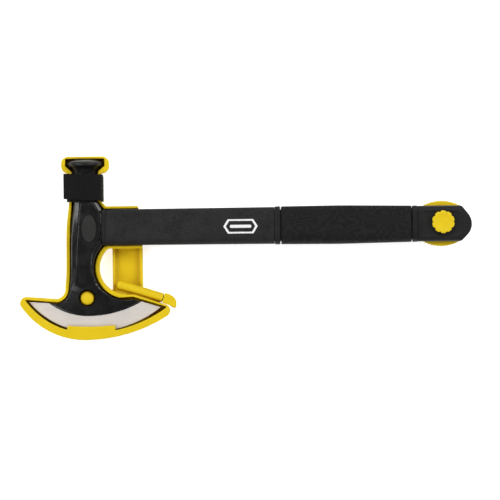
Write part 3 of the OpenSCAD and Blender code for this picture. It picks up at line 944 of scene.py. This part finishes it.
def strap(name, path, low, high, body, node, seed, drop=(0, 0)):
    """Tape that follows path in X and Z from low to high in Y, with slightly uneven edges.

    drop lowers the low and high edges where the path starts, and fades to its other end.
    """
    path = np.array(path, float)
    gap = np.hypot(*np.diff(path, axis=0).T)
    along = np.concatenate([[0], np.cumsum(gap)])
    s = np.linspace(0, along[-1], max(24, int(along[-1] / 0.5)))
    x, z = np.interp(s, along, path[:, 0]), np.interp(s, along, path[:, 1])
    way = np.stack([np.gradient(x, s), np.gradient(z, s)], 1)
    way /= np.linalg.norm(way, axis=1)[:, None]
    normal = np.stack([-way[:, 1], way[:, 0]], 1)
    rng = np.random.default_rng(seed)
    wander = np.convolve(rng.normal(0, 0.16, len(s) + 8), np.ones(3) / 3, "same")[4:-4]
    half = STRAP_THICK / 2
    # Across the tape: how far along its width, and how far out its two faces are there
    across = np.concatenate([[0, 0.006], np.linspace(0.03, 0.97, 24), [0.994, 1]])
    lift = np.concatenate([[0.55, 0.92], np.ones(24), [0.92, 0.55]]) * half
    across, lift = np.concatenate([across, across[::-1]]), np.concatenate([-lift, lift[::-1]])
    rings = []
    for i in range(len(s)):
        start, end = (edge - fall * (1 - s[i] / along[-1]) for edge, fall in zip((low, high), drop))
        y = start + (end - start) * across
        y += np.where(across < 0.01, 0.25, np.where(across > 0.99, -0.25, 0)) * wander[i]
        rings.append(np.column_stack([x[i] + normal[i, 0] * lift, y, z[i] + normal[i, 1] * lift]))
    tape = lofted(name, rings, [TAPE], body, [node], sharp=60)


# The wrap goes down the right side, behind the neck, up the left side and over the front,
# and the flap lies over it
STRAP_SIDE = 13.6
STRAP_BACK = -13.5
BEND_R = 1.3


def back_corner(x, start, end):
    """The wrap's bend round a back corner of the sheath, about a centre at x."""
    z = BEND_R + STRAP_BACK
    angles = np.linspace(start, end, 7)
    return [(x + BEND_R * math.cos(a), z + BEND_R * math.sin(a)) for a in angles]


wrap = [(STRAP_SIDE, 1.5)]
wrap += back_corner(STRAP_SIDE - BEND_R, 0, -math.pi / 2)
wrap += back_corner(BEND_R - STRAP_SIDE, -math.pi / 2, -math.pi)
wrap += list(
    smooth([(-STRAP_SIDE, 3.5), (-12.7, 7.2), (-10.2, 9.2), (-6, 10.1), (0, 10.4), (6, 10)])
)
over = smooth(
    [(STRAP_SIDE, 2.4), (13.5, 5.2), (12.2, 8.8), (9, 11.2), (5, 12.2), (0, 12.4), (-6, 12.1)]
    + [(-11, 11), (-16.4, 8)]
)
strap(
    "strap_wrap",
    wrap,
    low=20.3,
    high=40.3,
    body="sheath_body",
    node="strap_band",
    seed=3,
)
strap(
    "strap_end_flap",
    over,
    low=22.65,
    high=42.65,
    body="strap_end",
    node="strap_flap",
    seed=5,
    drop=(1.9, 1.0),
)


# ---------------------------------------------------------------- CAD nodes that stay

for node, material in (
    ("tang_pins", SMALL_STEEL),
    ("cap_screws", SMALL_STEEL),
    ("knob_insert", BRASS),
    ("clamp_washer", SMALL_STEEL),
    ("knob_screw", SMALL_STEEL),
    ("saw_blade", SAW_STEEL),
    ("saw_rivets", SMALL_STEEL),
    ("strap_rivet", SMALL_STEEL),
    ("fire_steel_rod", FLINT),
):
    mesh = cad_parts[node].data
    mesh.materials.clear()
    mesh.materials.append(material)


# ---------------------------------------------------------------- stage, light, camera

# In metres: half the floor's side, its height, how far off lights and camera stand, and the
# width that the camera sees
FLOOR_HALF = 4
FLOOR_Z = -0.0002
LIGHT_REACH = 2.6
CAMERA_REACH = 5.0
VIEW_WIDTH = 0.3935

floor_mesh = bpy.data.meshes.new("floor")
floor_corners = ((-1, -1), (1, -1), (1, 1), (-1, 1))
floor_points = [(x * FLOOR_HALF, y * FLOOR_HALF, 0) for x, y in floor_corners]
floor_mesh.from_pydata(floor_points, [], [(0, 1, 2, 3)])
floor = bpy.data.objects.new("floor", floor_mesh)
floor.location.z = FLOOR_Z
bpy.context.scene.collection.objects.link(floor)
paper = bpy.data.materials.new("paper_white")
paper.use_nodes = True
white = paper.node_tree.nodes["Principled BSDF"]
white.inputs["Base Color"].default_value = (0.8, 0.8, 0.8, 1)
white.inputs["Roughness"].default_value = 0.9
white.inputs["Specular IOR Level"].default_value = 0.1
white.inputs["Emission Color"].default_value = (1, 1, 1, 1)
white.inputs["Emission Strength"].default_value = 0.7
floor_mesh.materials.append(paper)

world = bpy.data.worlds.new("studio")
world.use_nodes = True
world.node_tree.nodes["Background"].inputs["Color"].default_value = (1, 1, 1, 1)
world.node_tree.nodes["Background"].inputs["Strength"].default_value = 0.1
bpy.context.scene.world = world

# The middle of the view, on the drawing's mid-plane
CENTRE = ORIGIN + np.array([129.2, -19.1, 0]) * MM


def soft_light(name, towards, size, lit):
    """A round soft light that stands towards that direction and gives the floor lit W/m2."""
    towards = np.array(towards, float) / np.linalg.norm(towards)
    light = bpy.data.lights.new(name, "AREA")
    light.shape = "DISK"
    light.size = size
    light.energy = lit * math.pi * LIGHT_REACH**2 / towards[2]
    obj = bpy.data.objects.new(name, light)
    obj.location = CENTRE + towards * LIGHT_REACH
    obj.rotation_mode = "QUATERNION"
    obj.rotation_quaternion = Vector(-towards).to_track_quat("-Z", "Y")
    bpy.context.scene.collection.objects.link(obj)


soft_light("front", (-0.08, 0.48, 0.87), 1.2, 0.5)
soft_light("key", (-0.12, 0.76, 0.64), 1.2, 0.35)
soft_light("left", (-0.7, 0.05, 0.7), 1.2, 0.72)
soft_light("right", (0.66, 0.32, 0.68), 1.2, 0.95)
soft_light("low_left", (-0.45, -0.52, 0.73), 1.0, 0.33)
soft_light("low_right", (0.45, -0.52, 0.73), 1.0, 0.33)

camera_lens = bpy.data.cameras.new("camera")
camera_lens.sensor_width = 36
camera_lens.lens = camera_lens.sensor_width * CAMERA_REACH / VIEW_WIDTH
camera_lens.clip_start = 0.05
camera_lens.clip_end = 20
camera = bpy.data.objects.new("camera", camera_lens)
camera.location = CENTRE + np.array([0, 0, CAMERA_REACH])
# The camera is turned, because the handle isn't quite level in the photo
camera.rotation_euler = (0, 0, math.radians(-0.704))
bpy.context.scene.collection.objects.link(camera)
bpy.context.scene.camera = camera
bpy.context.scene.view_settings.view_transform = "Standard"
